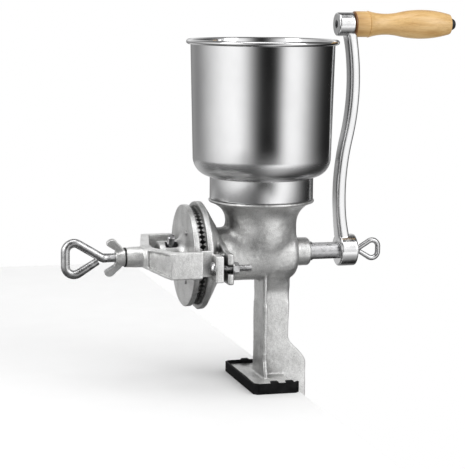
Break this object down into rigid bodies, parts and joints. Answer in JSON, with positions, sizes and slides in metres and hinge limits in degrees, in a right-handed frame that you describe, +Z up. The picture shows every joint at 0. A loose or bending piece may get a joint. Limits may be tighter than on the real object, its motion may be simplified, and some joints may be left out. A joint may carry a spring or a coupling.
{
  "type": "grain mill",
  "caption": "Hand-cranked grain mill with a tall steel hopper, toothed grinding plates, a screw-adjusted bridge and a table clamp.",
  "frame": {"origin": "on the underside of the foot pad, in the plane of the table top, below the middle of the throat", "axes": "+Z up, +X along the shaft from the grinding plates to the crank, +Y to the back"},
  "size_m": [0.3772, 0.141, 0.4855],
  "materials": {
    "tinned_casting": "tin-plated rough casting, satin",
    "stainless": "mirror polished stainless sheet",
    "turned_steel": "turned and tinned",
    "polished_steel": "polished",
    "zinc_steel": "zinc plated",
    "burr_iron": "hardened cast iron, satin",
    "rubber": "matte black rubber",
    "varnished_wood": "clear varnish",
    "dark_washer": "black oxide"
  },
  "bodies": {
    "frame": {"body_casting": "tinned_casting", "foot_pad": "rubber", "fixed_burr": "burr_iron", "fixed_burr_screws": "zinc_steel", "bridge": "tinned_casting", "bridge_bolts": "zinc_steel", "bridge_washers": "zinc_steel", "bridge_nuts": "zinc_steel"},
    "hopper": {"hopper": "stainless"},
    "crank": {"auger": "turned_steel", "drive_pin": "zinc_steel", "crank_arm": "polished_steel", "grip_pin": "zinc_steel", "grip_cap": "dark_washer"},
    "turning_plate": {"burr_holder": "tinned_casting", "rotating_burr": "burr_iron", "rotating_burr_screws": "zinc_steel"},
    "grip": {"grip": "varnished_wood"},
    "thrust_ball": {"thrust_ball": "polished_steel"},
    "adjusting_screw": {"adjusting_screw": "zinc_steel"},
    "lock_washer": {"lock_washer": "dark_washer"},
    "wing_nut": {"wing_nut": "zinc_steel"},
    "crank_washer": {"crank_washer": "zinc_steel"},
    "crank_screw": {"crank_screw": "zinc_steel"},
    "clamp_pad": {"clamp_pad": "zinc_steel"},
    "clamp_screw": {"clamp_screw": "zinc_steel"}
  },
  "joints": [
    {"name": "crank_spin", "type": "hinge", "parent": "frame", "child": "crank", "pos_m": [0.045, 0, 0.123], "axis": [1, 0, 0], "continuous": true},
    {"name": "grip_spin", "type": "hinge", "parent": "crank", "child": "grip", "pos_m": [0.13, 0, 0.335], "axis": [1, 0, 0], "continuous": true},
    {"name": "hopper_lift", "type": "slide", "parent": "frame", "child": "hopper", "axis": [0, 0, 1], "range_m": [0, 0.045]},
    {"name": "adjust_turn", "type": "hinge", "parent": "thrust_ball", "child": "adjusting_screw", "pos_m": [-0.12, 0, 0.123], "axis": [1, 0, 0], "range_deg": [-865, 174]},
    {"name": "thrust_slide", "type": "slide", "parent": "frame", "child": "thrust_ball", "axis": [1, 0, 0], "range_m": [-0.003, 0.0006]},
    {"name": "plate_gap", "type": "slide", "parent": "crank", "child": "turning_plate", "axis": [1, 0, 0], "range_m": [-0.003, 0.0006]},
    {"name": "wing_turn", "type": "hinge", "parent": "lock_washer", "child": "wing_nut", "pos_m": [-0.133, 0, 0.123], "axis": [1, 0, 0], "range_deg": [-865, 0]},
    {"name": "lock_washer_slide", "type": "slide", "parent": "frame", "child": "lock_washer", "axis": [1, 0, 0], "range_m": [-0.003, 0]},
    {"name": "crank_screw_turn", "type": "hinge", "parent": "crank_washer", "child": "crank_screw", "pos_m": [0.094, 0, 0.123], "axis": [1, 0, 0], "range_deg": [0, 2162]},
    {"name": "crank_washer_slide", "type": "slide", "parent": "crank", "child": "crank_washer", "axis": [1, 0, 0], "range_m": [0, 0.0075]},
    {"name": "clamp_turn", "type": "hinge", "parent": "clamp_pad", "child": "clamp_screw", "pos_m": [0.006, 0, -0.07], "axis": [0, 0, 1], "range_deg": [-2282, 2162]},
    {"name": "clamp_pad_slide", "type": "slide", "parent": "frame", "child": "clamp_pad", "axis": [0, 0, 1], "range_m": [-0.019, 0.018]}
  ],
  "couplings": [
    {"joint": "adjust_turn", "follows": "thrust_slide", "rad_per_m": 5026.5},
    {"joint": "plate_gap", "follows": "thrust_slide", "ratio": 1},
    {"joint": "wing_turn", "follows": "lock_washer_slide", "rad_per_m": 5026.5},
    {"joint": "crank_screw_turn", "follows": "crank_washer_slide", "rad_per_m": 5026.5},
    {"joint": "clamp_turn", "follows": "clamp_pad_slide", "rad_per_m": 2094.4}
  ]
}
